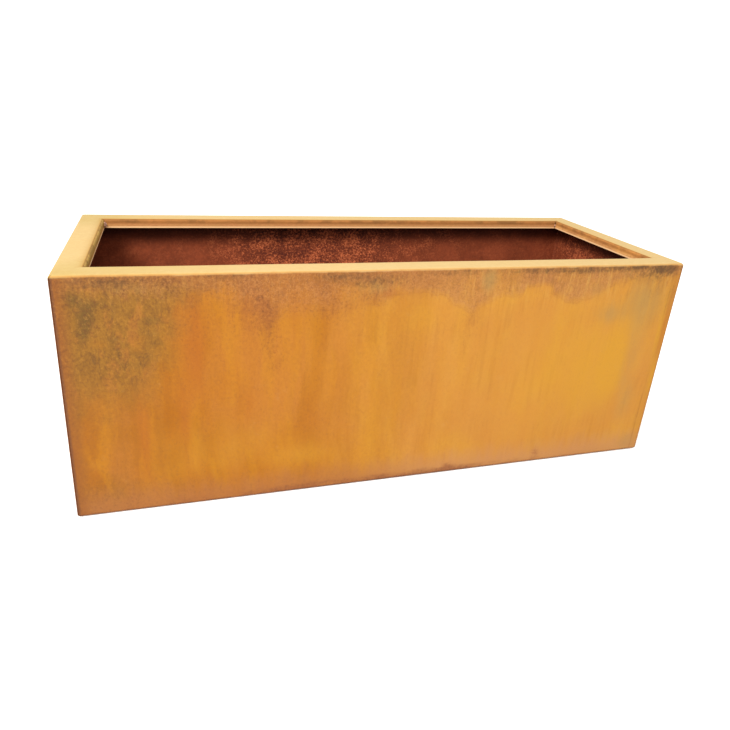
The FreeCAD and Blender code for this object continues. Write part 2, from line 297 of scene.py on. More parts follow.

# %% [markdown]
# ## Where the rust differs
#
# Rust is not one colour: rain runs off the rim, dries in streaks, and stands longest at the foot, and a
# hand has moved it about. Each kind of stain is a soft field kept on the sheet's points. Its shape is
# a sum of blurred ellipses, and the material later breaks up their edges. The front's patches are
# listed one by one, and the other walls get their own at random from a seed.

# %% Stain fields
# kind: (place along, height, half width, half height in millimetres, strength); a strength below zero
# wipes the stain away there
FRONT_STAINS = {
    "damp": [
        (-550, 370, 90, 105, 1), (-470, 365, 65, 75, 0.6), (-500, 425, 100, 35, 0.75),
        (-410, 430, 60, 20, 0.35), (-520, 262, 80, 60, 0.38), (-588, 260, 18, 120, 0.45),
        (-560, 40, 70, 50, 0.3), (-500, 20, 120, 40, 0.25), (-533, 333, 18, 16, -0.55),
        (-481, 335, 16, 20, -0.45), (-590, 350, 10, 30, -0.3),
    ],
    "moss": [
        (-570, 412, 15, 14, 0.54), (-552, 380, 15, 30, 0.76), (-528, 401, 20, 10, 0.5),
        (-560, 350, 10, 14, 0.4), (-450, 370, 18, 9, 0.45), (-452, 330, 18, 9, 0.36),
        (-507, 308, 6, 22, 0.38), (-517, 345, 7, 16, 0.38), (-480, 290, 18, 9, 0.25),
        (-535, 195, 14, 16, 0.28),
    ],
    "scab": [
        (-520, 437, 80, 11, 0.5), (-330, 443, 50, 6, 0.4), (-150, 438, 50, 10, 0.35),
        (-75, 429, 55, 14, 0.48), (90, 441, 60, 6, 0.4), (240, 442, 60, 5, 0.5),
        (340, 440, 75, 7, 0.65), (440, 443, 60, 5, 0.55), (490, 444, 14, 5, 0.9),
        (552, 440, 34, 10, 0.95), (515, 428, 80, 16, 0.3), (590, 390, 6, 20, 0.3),
    ],
    "sage": [
        (152, 424, 15, 26, 0.9), (440, 345, 40, 22, 0.45), (405, 400, 22, 18, 0.35),
        (527, 250, 24, 110, 0.42), (520, 375, 70, 60, 0.54), (535, 130, 30, 60, 0.3),
        (575, 22, 38, 24, 0.42), (-66, 416, 34, 18, 0.5), (-480, 425, 50, 12, 0.3),
    ],
    "shade": [
        (-264, 362, 14, 44, 0.55), (-285, 385, 36, 40, 0.4), (-330, 370, 100, 60, 0.16),
        (-250, 290, 16, 40, 0.35), (-135, 375, 40, 30, 0.3), (-80, 398, 28, 18, 0.45),
        (130, 345, 14, 40, 0.35), (118, 290, 9, 45, 0.22), (300, 392, 12, 10, 0.25),
        (545, 418, 60, 40, 0.32), (200, 418, 200, 22, 0.16), (345, 376, 16, 6, 0.3),
        (-392, 400, 12, 18, 0.35),
    ],
    "ember": [
        (-394, 350, 28, 120, 0.75), (-385, 290, 12, 80, 0.45), (-408, 190, 14, 90, 0.5),
        (-300, 200, 12, 50, 0.45), (-350, 130, 10, 60, 0.35), (-478, 160, 14, 110, 0.75),
        (-445, 60, 10, 60, 0.35), (-50, 405, 18, 9, 0.8), (-220, 400, 70, 50, 0.3),
        (-240, 20, 80, 8, 0.3), (590, 330, 8, 110, 0.5),
    ],
    "bloom": [
        (482, 240, 30, 85, 0.85), (430, 180, 70, 90, 0.55), (330, 240, 140, 160, 0.4),
        (262, 392, 28, 12, 0.2), (20, 360, 50, 40, 0.35), (-340, 110, 140, 70, 0.45),
        (-562, 105, 18, 14, 0.24), (-180, 80, 80, 30, 0.35), (592, 190, 6, 50, 0.9),
        (582, 310, 7, 120, 0.7), (-60, 230, 16, 150, 0.25), (-560, 420, 20, 16, 0.25),
    ],
    "splash": [
        (-10, 2, 300, 4.5, 0.55), (-240, 8, 80, 7, 0.55), (-130, 12, 70, 6, 0.45),
        (-20, 8, 50, 7, 0.55), (60, 9, 60, 8, 0.5), (140, 8, 50, 7, 0.6), (115, 16, 12, 12, 0.6),
        (325, 24, 12, 12, 0.55), (260, 8, 90, 6, 0.35), (450, 6, 100, 5, 0.25),
        (-420, 8, 50, 9, 0.3),
    ],
}
# (place along, how far down the band under the fold reaches there), in millimetres
FRONT_BAND = [
    (-600, 20), (-430, 40), (-380, 30), (-310, 60), (-262, 88), (-225, 70), (-160, 75), (-100, 58),
    (-62, 68), (-30, 50), (15, 45), (60, 52), (90, 72), (120, 92), (150, 72), (190, 58), (228, 60),
    (238, 40), (290, 40), (304, 62), (340, 78), (390, 68), (440, 40), (520, 26), (600, 24),
]
# where the inner skin has flaked to orange, as for the stains
INNER_FLAKES = {
    "back": [
        (150, 370, 105, 90, 1), (30, 370, 90, 90, 0.8), (-90, 370, 100, 60, 0.55),
        (270, 380, 60, 50, 0.3), (-250, 390, 60, 40, 0.3),
    ],
    "right": [
        (140, 370, 60, 50, 0.8), (20, 390, 70, 50, 0.4),
    ],
}


def in_metres(patches):
    """Patches given in millimetres, with their strengths left as they are."""
    return np.array(patches) * (MM, MM, MM, MM, 1)


def soft_patches(along, height, patches):
    """Blurred ellipses added up: each is its strength times exp(-distance squared) in its own radii."""
    total = np.zeros(along.shape)
    for place, level, half_width, half_height, strength in patches:
        far = ((along - place) / half_width) ** 2 + ((height - level) / half_height) ** 2
        total = total + strength * np.exp(-far)
    return np.clip(total, 0, 1)


def hanging_band(along, height, reaches):
    """How far inside the band under the top fold a point lies, in spans of 30 mm.

    The band's lower edge is eased by a cosine from each named reach to the next."""
    places, depths = np.array(reaches).T
    before = np.clip(np.searchsorted(places, along) - 1, 0, len(places) - 2)
    part = np.clip((along - places[before]) / (places[before + 1] - places[before]), 0, 1)
    edge = depths[before] + (depths[before + 1] - depths[before]) * (0.5 - 0.5 * np.cos(pi * part))
    return np.clip((edge - (HEIGHT - height)) / (30 * MM), -0.8, 3)


# kind: (lowest height of a patch's middle in metres, height over width, largest strength)
CHANCE_KINDS = {
    "damp": (0.20, 1.6, 0.8),
    "moss": (0.33, 1.6, 0.55),
    "scab": (0.435, 0.3, 0.7),
    "sage": (0.05, 2.6, 0.5),
    "shade": (0.30, 1.2, 0.7),
    "ember": (0.05, 4.0, 0.8),
    "bloom": (0.05, 1.5, 0.7),
    "flakes": (0.10, 1.0, 0.9),
}


def chance_stains(seed, half_run):
    """The same kinds of stain at random places, and a band that reaches down by chance."""
    rng = np.random.default_rng(seed)
    count = max(4, int(12 * half_run / HALF_LENGTH))
    stains = {}
    for kind, (lowest, tallness, most) in CHANCE_KINDS.items():
        place = rng.uniform(-half_run, half_run, count)
        level = rng.uniform(lowest, HEIGHT, count)
        half_width = rng.uniform(12 * MM, 60 * MM, count) * (0.4 if kind == "moss" else 1)
        half_height = half_width * tallness * rng.uniform(0.5, 1.3, count)
        strength = rng.uniform(0.25, most, count)
        stains[kind] = np.column_stack([place, level, half_width, half_height, strength])
    least = (-half_run, 4 * MM, 20 * MM, 5 * MM, 0.3)
    most = (half_run, 20 * MM, 100 * MM, 10 * MM, 0.9)
    stains["splash"] = rng.uniform(least, most, (count, 5))
    turns = np.linspace(-half_run, half_run, 2 * count) + rng.uniform(-12 * MM, 12 * MM, 2 * count)
    return stains, np.column_stack([turns, rng.uniform(24 * MM, 85 * MM, 2 * count)])


print("stains placed by hand:", {kind: len(patches) for kind, patches in FRONT_STAINS.items()})

# %% Walls
PANEL_WAVE = 1.3 * MM  # how far the waves may let each face in
RIM_WAVE = 0.5 * MM
STIFF_END = 50 * MM  # the waves die away this near to a seam
# side: (half of its run, the imported piece, seed, painted light on its lip, how green its lip is and how
# strong the painted shade along its rim's inner fold)
WALLS = {
    "front": (HALF_LENGTH, "front_wall", 3, 0.2, 0.0),
    "back": (HALF_LENGTH, "back_wall", 11, 0.3, 0.0),
    "left": (HALF_WIDTH, "left_end_wall", 23, 0.2, 1.0),
    "right": (HALF_WIDTH, "right_end_wall", 37, 1.0, 0.0),
}


def zone_marks(count):
    """Which part of the fold each point is on, from the sheet's normal there, for count rows."""
    zones = {
        "rim": np.where(outline.outer, np.clip(outline.facing_up, 0, 1), 0),
        "lip": np.where(outline.outer, np.clip(outline.facing_in, 0, 1), 0),
        "roll": np.where(outline.outer, np.exp(-(((RIM - outline.mid_depth) / (9 * MM)) ** 2)), 0),
        "inside": np.where(outline.outer, 0, 1 - outline.cut),
        "cut": outline.cut,
    }
    return {mark: np.tile(values, (count, 1)) for mark, values in zones.items()}


def make_wall(side, half_run, node, seed, lip_painted_light, green_lip_and_fold_shade):
    """The section carried along the wall: along = station times the mitred half length at that depth.

    The panel is let in most at mid height, as a sine to the power 0.6. lip_painted_light, the painted
    light on a lip, and green_lip_and_fold_shade go from 0 to 1."""
    station = stations(half_run, WALL_PITCH)[:, None]
    along = station * (half_run - outline.mid_depth - SEAM_HALF)
    to_seam = (1 - np.abs(station)) * half_run + 0 * along
    fade = 1 - np.exp(-((to_seam / STIFF_END) ** 2))
    height = outline.mid_level + 0 * along
    flat_panel = np.clip(-outline.facing_in, 0, 1) * np.sin(pi * np.clip(height / HEIGHT, 0, 1)) ** 0.6
    let_in = PANEL_WAVE * fade * flat_panel * soft_waves(along, height, seed, (1.1, 0.62, 0.41, 0.27))
    rim_wave = soft_waves(along, 0 * height, seed + 1, (0.7, 0.31))
    dip = RIM_WAVE * fade * np.clip(outline.facing_up, 0, 1) * rim_wave
    lip_wave = soft_waves(along, 0 * height, seed + 2, (0.5, 0.23)) - 0.5
    sway = RIM_WAVE * fade * np.clip(outline.facing_in, 0, 1) * lip_wave
    level = outline.level - dip
    points = ease_corners(place_wall(side, along, outline.depth + let_in + sway, level))

    marks = zone_marks(len(station))
    marks["to_seam"] = to_seam
    marks["lip_painted_light"] = lip_painted_light + 0 * along
    marks["green_lip_and_fold_shade"] = green_lip_and_fold_shade + 0 * along
    marks["drift"] = 0.5 + 0.5 * points[..., 0] / HALF_LENGTH
    stains, reaches = chance_stains(seed, half_run)
    if side == "front":
        stains.update({kind: in_metres(patches) for kind, patches in FRONT_STAINS.items()})
        reaches = np.array(FRONT_BAND) * MM
    else:
        away = 1 - np.exp(-((to_seam / (120 * MM)) ** 2))
        chance = 0.45 + 0.9 * (soft_waves(along, height, seed + 5, (1.1, 0.7)) - 0.5)
        marks["drift"] += away * (chance - marks["drift"])
    if side in INNER_FLAKES:
        stains["flakes"] = in_metres(INNER_FLAKES[side])
    for kind, patches in stains.items():
        marks[kind] = soft_patches(along, level, patches)
    marks["band"] = hanging_band(along, level, reaches)
    shell = (points, tube_faces(*points.shape[:2]))
    return make_piece(f"{side}_wall_sheet", [shell], [node], marks)


walls = {side: make_wall(side, *facts) for side, facts in WALLS.items()}


# %% [markdown]
# ## The welded corners
#
# Each corner has two welds that are one piece of metal. The root fills the mitre's gap and is ground
# flush outside, so it carries the section across the gap in a few steps. Inside, the fillet is left
# as it was laid, a row of overlapping pools like fallen coins, and that needs real relief.


# %% Weld beads
def weld_bead(start, end, side_a, side_b, leg, seed, pool=2.6 * MM, step=0.65 * MM):
    """A fillet bead from start to end, in the corner between the directions side_a and side_b.

    Its face runs from one toe to the other with a bulge of 4r(1 - r). Each pool is a parabola along
    the run, and lags behind in the middle of the face. The back is sunk a little into the metal."""
    start, end, side_a, side_b = (np.array(v, dtype=float) for v in (start, end, side_a, side_b))
    rng = np.random.default_rng(seed)
    length = np.linalg.norm(end - start)
    along = np.linspace(0, length, int(length / step) + 2)[:, None]
    across = np.linspace(0, 1, 9)[None, :]
    phases = rng.uniform(0, 2 * pi, 3)
    wander = np.sin(along / (11 * MM) + phases[0]) + np.sin(along / (4.7 * MM) + phases[1])
    size = leg * (1 + 0.06 * wander)
    end_gap = np.minimum(along, length - along)
    size = size * np.sqrt(1 - (1 - np.clip(end_gap / leg, 0.04, 1)) ** 2)
    bulge = 4 * across * (1 - across)
    lag = (along + 0.1 * leg * wander) / pool + 0.55 * bulge
    ripple = 1 - (2 * (lag % 1) - 1) ** 2
    lift = bulge * size * (0.10 + 0.09 * ripple)
    reach_a = size * (1 - across) + lift
    reach_b = size * across + lift
    sunk = -0.4 * MM
    back_a = np.maximum(size * (1 - 2 * across), 0) + sunk
    back_b = np.maximum(size * (2 * across - 1), 0) + sunk
    a = np.concatenate([reach_a, back_a[:, ::-1]], axis=1)
    b = np.concatenate([reach_b, back_b[:, ::-1]], axis=1)
    path = start + (end - start) * along / length
    points = path[:, None, :] + a[..., None] * side_a + b[..., None] * side_b
    return points, tube_faces(*points.shape[:2])


def seam_root(sign_x, sign_y):
    """The section carried over the mitre, from one wall's mitred end to the other's.

    q runs from -1 to 1. The depth from one wall grows by SEAM_HALF times q on one side of the mitre
    line, and the depth from the other wall does so on the other side."""
    q = np.linspace(-1, 1, 9)[:, None]
    from_long = outline.depth + SEAM_HALF * np.clip(q, 0, 1)
    from_end = outline.depth + SEAM_HALF * np.clip(-q, 0, 1)
    x = sign_x * (HALF_LENGTH - from_end)
    y = sign_y * (HALF_WIDTH - from_long)
    return ease_corners(np.stack([x, y, outline.level + 0 * q], axis=-1))


def weld_lump(middle, radii, seed, rows=19, columns=28):
    """A closed lumpy knob: an ellipsoid whose radius is swollen by seeded waves round and along it."""
    rng = np.random.default_rng(seed)
    level = np.linspace(-0.5, 0.5, rows)[:, None] * pi * 0.985
    turn = np.arange(columns)[None, :] * 2 * pi / columns
    swell = np.ones((rows, columns))
    for waves_round, waves_up in ((2, 1.5), (3, 4.0), (5, 6.5), (8, 9.0)):
        phase, lean = rng.uniform(0, 2 * pi, 2)
        wave = np.sin(waves_round * turn + phase) * np.cos(waves_up * level + lean)
        swell = swell + 0.22 / np.sqrt(waves_round) * wave
    around = np.cos(level) * swell
    points = np.stack([around * np.cos(turn), around * np.sin(turn), np.sin(level) + 0 * turn], axis=-1)
    return points * np.array(radii) + np.array(middle), tube_faces(rows, columns)


# corner: which way it lies from the middle, and the size of the lump in the rim's inner corner
CORNERS = {
    "front_left": (-1, -1, 2.4 * MM),
    "front_right": (1, -1, 2.0 * MM),
    "back_right": (1, 1, 2.2 * MM),
    "back_left": (-1, 1, 4.2 * MM),
}
BEAD_LEG = 5 * MM


def make_seam(name, sign_x, sign_y, lump, seed):
    """The ground root, the bead up the inside and the lump where the bead was finished at the lip."""
    root = seam_root(sign_x, sign_y)
    x = sign_x * (HALF_LENGTH - SHEET)
    y = sign_y * (HALF_WIDTH - SHEET)
    run = ((x, y, FOLD), (x, y, HEIGHT - FOLD))
    bead = weld_bead(*run, (-sign_x, 0, 0), (0, -sign_y, 0), BEAD_LEG, seed)
    inner_x = sign_x * (HALF_LENGTH - RIM - 0.25 * lump)
    inner_y = sign_y * (HALF_WIDTH - RIM - 0.25 * lump)
    knob = weld_lump((inner_x, inner_y, HEIGHT - 0.62 * LIP), (lump, lump, 1.5 * lump), seed)

    on_root, on_bead, on_knob = (grid[..., 0].size for grid in (root, bead[0], knob[0]))
    rest = np.zeros(on_bead + on_knob)
    zones = zone_marks(len(root))
    marks = {mark: np.concatenate([values.ravel(), rest]) for mark, values in zones.items()}
    marks["inside"][on_root : on_root + on_bead] = 1
    marks["bead"] = np.concatenate([np.zeros(on_root), rest + 1])
    # the seams take a middling share of the lips' painted light
    for mark, value in (("to_seam", 0.0), ("drift", 0.5 + 0.48 * sign_x), ("band", 0.1), ("lip_painted_light", 0.6)):
        marks[mark] = np.full(on_root + len(rest), value)
    marks["pinhole_shade"] = np.zeros(on_root + len(rest))
    # painted shade: the pinhole in the back right weld is a dark spot, the shade inside the hole
    if name == "back_right":
        pinhole = np.array([inner_x, inner_y, HEIGHT - 0.28 * LIP])
        away = np.linalg.norm(root.reshape(-1, 3) - pinhole, axis=1)
        marks["pinhole_shade"][:on_root] = np.exp(-((away / (2.2 * MM)) ** 2))
    shells = [(root, tube_faces(*root.shape[:2])), bead, knob]
    return make_piece(f"corner_weld_{name}", shells, [f"corner_seam_weld_{name}"], marks)


seams = [make_seam(name, *signs, seed=50 + i) for i, (name, signs) in enumerate(CORNERS.items())]

# %% [markdown]
# ## Welds inside the box
#
# The base plate is stitched to the walls with short beads, the channels under it are tacked to the foot
# flanges, and the tie's lugs are welded up both sides. They all use the same bead.

# %% Short beads
WALL_X = HALF_LENGTH - SHEET
WALL_Y = HALF_WIDTH - SHEET
STITCH_X = (-0.450, -0.175, 0.175, 0.450)
STITCH_Y = (-0.120, 0.120)
STITCH_LENGTH = 40 * MM
TACK_Y = (0.200, 0.216)  # where a tack starts and stops along a bearer's edge
LUG_MARGIN = 3 * MM  # left unwelded at both ends of a lug
SMALL_LEG = 4 * MM
UP = (0, 0, 1)


def bead_group(name, node, beads):
    """One object from many short beads; each is start, end, side_a, side_b."""
    shells = [weld_bead(*bead, SMALL_LEG, seed) for seed, bead in enumerate(beads)]
    count = sum(shell[0][..., 0].size for shell in shells)
    marks = {"bead": np.ones(count), "inside": np.ones(count)}
    return make_piece(name, shells, [node], marks)


stitches = []
for side in (-1, 1):
    for x in STITCH_X:
        ends = [(x + half * STITCH_LENGTH / 2, side * WALL_Y, BASE_TOP) for half in (-1, 1)]
        stitches.append((*ends, (0, -side, 0), UP))
    for y in STITCH_Y:
        ends = [(side * WALL_X, y + half * STITCH_LENGTH / 2, BASE_TOP) for half in (-1, 1)]
        stitches.append((*ends, (-side, 0, 0), UP))
stitch_welds = bead_group("base_stitch_beads", "base_stitch_welds", stitches)

tacks = []
for place in ("left", "middle", "right"):
    bearer_low, bearer_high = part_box(f"base_bearer_{place}")
    for side, x in ((-1, bearer_low[0]), (1, bearer_high[0])):
        for end in (-1, 1):
            tack = [(x, end * reach, SHEET) for reach in TACK_Y]
            tacks.append((*tack, (side, 0, 0), UP))
bearer_tacks = bead_group("bearer_beads", "bearer_welds", tacks)

lug_low, lug_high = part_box("tie_lug_front")
lug_runs = []
for side in (-1, 1):
    for x, outward in ((lug_low[0], -1), (lug_high[0], 1)):
        run = [(x, side * WALL_Y, z) for z in (lug_low[2] + LUG_MARGIN, lug_high[2] - LUG_MARGIN)]
        lug_runs.append((*run, (outward, 0, 0), (0, -side, 0)))
lug_beads = bead_group("tie_lug_beads", "tie_lug_welds", lug_runs)

# %% [markdown]
# ## Rust as a material
#
# Rust is built up in layers, as it is on the steel: a blotchy ground of orange and ochre, streaks that
# run down, dark specks where the first scale still holds, and the stain fields with their edges broken
# up. Each effect used more than once is a node group with named sockets.


# %% A short way to write node trees
def paint(red, green, blue):
    """A colour given as on a paint chip, 0 to 255, turned into the linear values that shaders use."""
    chip = np.array([red, green, blue]) / 255
    linear = np.where(chip <= 0.04045, chip / 12.92, ((chip + 0.055) / 1.055) ** 2.4)
    return (*linear.tolist(), 1.0)


class Recipe:
    """A node tree written as calls, each of which returns the socket that the next one takes."""

    def __init__(self, tree):
        self.tree = tree

    def node(self, kind, **settings):
        made = self.tree.nodes.new(kind)
        for setting, value in settings.items():
            setattr(made, setting, value)
        return made

    def feed(self, socket, value):
        if isinstance(value, bpy.types.NodeSocket):
            self.tree.links.new(value, socket)
        elif value is not None:
            socket.default_value = value

    def calc(self, operation, a, b=None, c=None):
        made = self.node("ShaderNodeMath", operation=operation)
        for socket, value in zip(made.inputs, (a, b, c)):
            self.feed(socket, value)
        return made.outputs[0]

    def times(self, first, *others):
        for other in others:
            first = self.calc("MULTIPLY", first, other)
        return first

    def line(self, value, slope, start):
        """The value times the slope, plus the start."""
        return self.calc("MULTIPLY_ADD", value, slope, start)

    def ramp(self, value, start, end, low=0.0, high=1.0):
        """Smooth step: low up to start, high from end on."""
        made = self.node("ShaderNodeMapRange", interpolation_type="SMOOTHSTEP")
        if start > end:
            start, end, low, high = end, start, high, low
        sockets = ("Value", "From Min", "From Max", "To Min", "To Max")
        for name, given in zip(sockets, (value, start, end, low, high)):
            self.feed(made.inputs[name], given)
        return made.outputs[0]

    def bump_at(self, value, middle, half):
        """One at the middle value, fading to nothing half away on either side."""
        return self.ramp(self.calc("ABSOLUTE", self.calc("SUBTRACT", value, middle)), half, 0.0)

    def mix(self, mask, below, above):
        """Below where the mask is nothing and above where it is one; each is a colour or a paint chip."""
        made = self.node("ShaderNodeMix", data_type="RGBA")
        for index, given in ((0, mask), (6, below), (7, above)):
            self.feed(made.inputs[index], paint(*given) if isinstance(given, tuple) else given)
        return made.outputs[2]

    def coat(self, color, *layers):
        """Layers laid over the colour; each is its own colour, then the masks that thin it."""
        for chip, *masks in layers:
            color = self.mix(self.times(*masks), color, chip)
        return color

    def noise(self, place, scale, detail=4.0, rough=0.55, warp=0.0):
        made = self.node("ShaderNodeTexNoise")
        given = {"Vector": place, "Scale": scale, "Detail": detail, "Roughness": rough, "Distortion": warp}
        for name, value in given.items():
            self.feed(made.inputs[name], value)
        return made.outputs["Fac"]

    def crumble(self, *given):
        """The same noise, swinging to either side of zero."""
        return self.calc("SUBTRACT", self.noise(*given), 0.5)

    def shape(self, place, up, move=(0, 0, 0), along=1):
        """The place scaled along and up, then moved: a scale below one draws the pattern out."""
        made = self.node("ShaderNodeVectorMath", operation="MULTIPLY_ADD")
        for socket, value in zip(made.inputs, (place, (along, along, up), move)):
            self.feed(socket, value)
        return made.outputs[0]

    def mark(self, name):
        return self.node("ShaderNodeAttribute", attribute_name=name).outputs["Fac"]

    def place(self):
        return self.node("ShaderNodeTexCoord").outputs["Object"]

    def height(self, place):
        split = self.node("ShaderNodeSeparateXYZ")
        self.feed(split.inputs[0], place)
        return split.outputs["Z"]

    def drop(self, place):
        """How far a point lies below the rim."""
        return self.calc("SUBTRACT", HEIGHT, self.height(place))

    def group(self, name, place, **given):
        made = self.node("ShaderNodeGroup", node_tree=bpy.data.node_groups[name])
        for socket, value in {"Place": place, **given}.items():
            self.feed(made.inputs[socket], value)
        return made.outputs


def new_group(name, outputs, **numbers):
    """An empty shader group; it takes a Place and the named numbers, and a Normal output is a vector."""
    tree = bpy.data.node_groups.new(name, "ShaderNodeTree")
    new_socket = tree.interface.new_socket
    new_socket("Place", in_out="INPUT", socket_type="NodeSocketVector")
    for label, value in numbers.items():
        new_socket(label, in_out="INPUT", socket_type="NodeSocketFloat").default_value = value
    for label in outputs:
        kind = "NodeSocketVector" if label == "Normal" else "NodeSocketFloat"
        new_socket(label, in_out="OUTPUT", socket_type=kind)
    r = Recipe(tree)
    entry = r.node("NodeGroupInput").outputs
    return r, entry["Place"], entry, r.node("NodeGroupOutput").inputs


# %% Shared effects
r, place, entry, leave = new_group("Mottling", ["Broad", "Fine"], Scale=20.0)
broad = r.noise(place, entry["Scale"], 5, 0.6, 0.4)
fine = r.noise(place, r.times(entry["Scale"], 7.0), 4, 0.65, 0.2)
r.feed(leave["Broad"], r.ramp(broad, 0.34, 0.66))
r.feed(leave["Fine"], r.ramp(fine, 0.32, 0.68))

# water swings a little to either side as it runs down
r, place, entry, leave = new_group("Rain streaks", ["Wide", "Thin"], Width=14.0)
sway = r.times(r.noise(place, 6.0, 2, 0.5), 0.05)
shift = r.node("ShaderNodeCombineXYZ")
for axis in ("X", "Y"):
    r.feed(shift.inputs[axis], sway)
bent = r.node("ShaderNodeVectorMath", operation="ADD")
r.feed(bent.inputs[0], place)
r.feed(bent.inputs[1], shift.outputs[0])
wide = r.noise(r.shape(bent.outputs[0], 0.12), entry["Width"], 4, 0.55, 0.2)
thin = r.noise(r.shape(place, 0.05), r.times(entry["Width"], 9.0), 2, 0.5, 0.1)
patchy = r.ramp(r.noise(place, 12.0, 3, 0.6), 0.42, 0.62)
r.feed(leave["Wide"], r.ramp(wide, 0.42, 0.64))
r.feed(leave["Thin"], r.times(r.ramp(thin, 0.46, 0.66), patchy))

# the grains that rise above a threshold, which sinks as the amount grows
r, place, entry, leave = new_group("Specks", ["Mask"], Size=300.0, Amount=0.0, Softness=0.10)
grains = r.noise(place, entry["Size"], 3, 0.75, 0.4)
threshold = r.calc("SUBTRACT", 0.74, r.times(entry["Amount"], 0.26))
above = r.calc("DIVIDE", r.calc("SUBTRACT", grains, threshold), entry["Softness"])
r.feed(leave["Mask"], r.ramp(above, 0.0, 1.0))

# a soft field with its edge crumbled, and left alone where the field is nothing
r, place, entry, leave = new_group("Broken edge", ["Mask"], Field=0.0, Scale=60.0, Break=0.5)
crumble = r.crumble(place, entry["Scale"], 6, 0.68, 0.5)
faint = r.ramp(entry["Field"], 0.02, 0.30)
broken = r.line(crumble, r.times(entry["Break"], faint), entry["Field"])
r.feed(leave["Mask"], r.ramp(broken, 0.02, 0.95))

# a net of lines where the noise crosses its middle
r, place, entry, leave = new_group("Cracks", ["Mask"], Scale=60.0, Width=0.04)
ridge = r.calc("ABSOLUTE", r.crumble(place, entry["Scale"], 3, 0.6, 0.8))
r.feed(leave["Mask"], r.ramp(r.calc("DIVIDE", ridge, entry["Width"]), 1.0, 0.0))

r, place, entry, leave = new_group("Scale relief", ["Normal"], Depth=0.3, Pits=0.0)
total = r.line(r.noise(place, 900.0, 3, 0.6), 0.35, r.noise(place, 120.0, 4, 0.6))
bump = r.node("ShaderNodeBump")
bump.inputs["Distance"].default_value = 0.5 * MM
r.feed(bump.inputs["Strength"], entry["Depth"])
r.feed(bump.inputs["Height"], r.calc("SUBTRACT", total, r.times(entry["Pits"], 0.6)))
r.feed(leave["Normal"], bump.outputs["Normal"])
print("groups:", [group.name for group in bpy.data.node_groups])


# %% A material with its shader
def new_material(name):
    """An empty node material; returns it with its recipe and its Principled shader's inputs."""
    material = bpy.data.materials.new(name)
    material.use_nodes = True
    shader = material.node_tree.nodes["Principled BSDF"]
    return material, Recipe(material.node_tree), shader.inputs


# %% [markdown]
# ## The outer patina
#
# One material covers both skins of the walls and the ground seams, because it is one sheet. A picture
# wrapped round the box could carry the same look, but it would blur close up. Here the marks kept on
# the points say where each layer lies, and noise in the object's own coordinates gives the grain.


# %% Outer patina: the ground
def ground_color(r, place):
    """Brown tan at one end of the drift, amber further on and orange at the other end, then streaks."""
    drift = r.mark("drift")
    worn = r.ramp(drift, 0.72, 0.25)
    clouds = r.group("Mottling", r.shape(place, 0.6), Scale=6.0)
    mottle = r.group("Mottling", r.shape(place, 0.7), Scale=26.0)
    streaks = r.group("Rain streaks", place, Width=15.0)
    narrow = r.group("Rain streaks", r.shape(place, 1, (4, 2, 1)), Width=34.0)
    return r.coat(
        r.mix(r.ramp(drift, 0.0, 0.30), (130, 80, 24), (146, 89, 15)),
        ((168, 119, 44), r.ramp(drift, 0.26, 0.56)),
        ((158, 102, 52), clouds["Broad"], 0.40),
        ((134, 77, 14), streaks["Wide"], r.line(worn, 0.50, 0.08)),
        ((162, 108, 22), narrow["Wide"], r.line(worn, 0.30, 0.06)),
        ((122, 76, 28), streaks["Thin"], 0.16),
        ((164, 100, 36), mottle["Broad"], 0.14),
        ((118, 70, 26), mottle["Fine"], r.line(worn, 0.16, 0.05)),
    )


# %% Outer patina: stains
# kind: (chip, amount, scale of the crumbled edge, how far it crumbles, stretch downwards)
STAIN_LOOKS = {
    "bloom": ((168, 121, 36), 0.75, 14.0, 0.8, 0.40),
    "sage": ((138, 107, 60), 0.80, 26.0, 1.1, 0.22),
    "ember": ((140, 79, 27), 0.75, 20.0, 1.0, 0.16),
    "damp": ((110, 75, 31), 0.94, 34.0, 0.9, 0.70),
    "shade": ((118, 67, 34), 0.65, 90.0, 1.5, 0.30),
    "moss": ((82, 62, 32), 0.88, 44.0, 0.8, 0.60),
    "scab": ((72, 52, 34), 0.85, 130.0, 1.9, 0.80),
}


def add_stains(r, place, color, *kinds):
    """The named kinds of stain, each with its edge broken up, laid on in the order given."""
    for kind in kinds:
        chip, amount, scale, broken, stretch = STAIN_LOOKS[kind]
        stretched = r.shape(place, stretch)
        edge = r.group("Broken edge", stretched, Field=r.mark(kind), Scale=scale, Break=broken)
        color = r.coat(color, (chip, edge["Mask"], amount))
    return color


def add_damp_detail(r, place, color):
    """Where it stays damp: warm blotches, a net of gold lines and short dark cracks."""
    damp = r.ramp(r.mark("damp"), 0.15, 0.8)
    patchy = r.ramp(r.noise(r.shape(place, 0.7, (5, 3, 1)), 22.0, 3, 0.6), 0.44, 0.62)
    cracks = r.group("Cracks", r.shape(place, 0.5), Scale=40.0, Width=0.03)["Mask"]
    gold = r.group("Cracks", r.shape(place, 0.45, (3, 1, 2)), Scale=52.0, Width=0.10)["Mask"]
    warm = r.ramp(r.noise(r.shape(place, 0.6, (7, 2, 4)), 30.0, 4, 0.65), 0.52, 0.66)
    return r.coat(
        color,
        ((146, 88, 38), warm, damp, 0.35),
        ((148, 102, 36), gold, damp, 0.24),
        ((80, 54, 32), cracks, damp, patchy, 0.45),
    )


